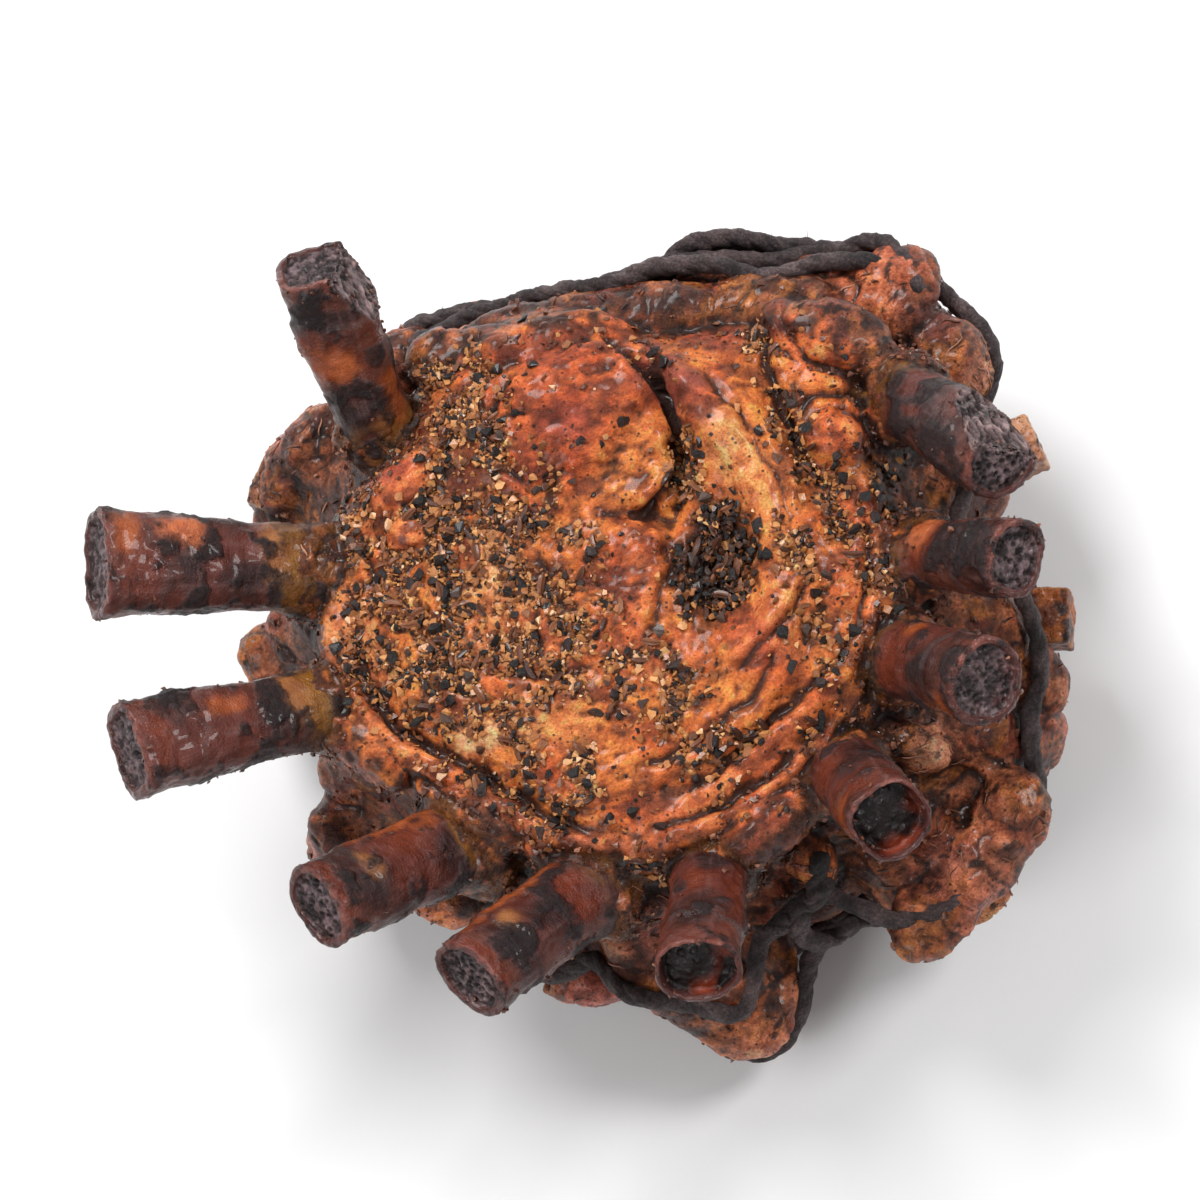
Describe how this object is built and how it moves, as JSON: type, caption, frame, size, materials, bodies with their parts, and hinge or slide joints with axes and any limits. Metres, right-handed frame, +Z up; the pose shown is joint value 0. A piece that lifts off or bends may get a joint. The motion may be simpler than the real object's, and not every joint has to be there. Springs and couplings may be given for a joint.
{
  "type": "pork crown roast",
  "caption": "Roasted rib rack of pork bent into a crown, with frenched bones round a swirl of spiced meat, tied with charred twine.",
  "frame": {"origin": "middle of the ring, on the flat base that the roast stands on", "axes": "+Z up; +X towards the side with the sawn chine bones that the picture shows at its right; +Y towards the side where the two ends of the rack meet"},
  "size_m": [0.2222, 0.1957, 0.1099],
  "materials": {
    "roast_meat": "moist browned meat with a spice crust",
    "roast_bone": "glazed, charred bone",
    "sawn_chine": "sawn, browned bone",
    "charred_twine": "charred, matt"
  },
  "bodies": {
    "root": {"meat": "roast_meat", "rib_1": "roast_bone", "rib_2": "roast_bone", "rib_3": "roast_bone", "rib_4": "roast_bone", "rib_5": "roast_bone", "rib_6": "roast_bone", "rib_7": "roast_bone", "rib_8": "roast_bone", "rib_9": "roast_bone", "rib_10": "roast_bone", "chine_1": "sawn_chine", "chine_2": "sawn_chine", "chine_3": "sawn_chine", "chine_4": "sawn_chine", "chine_5": "sawn_chine", "chine_6": "sawn_chine", "twine_upper": "charred_twine", "twine_middle": "charred_twine", "twine_lower": "charred_twine"}
  },
  "joints": []
}
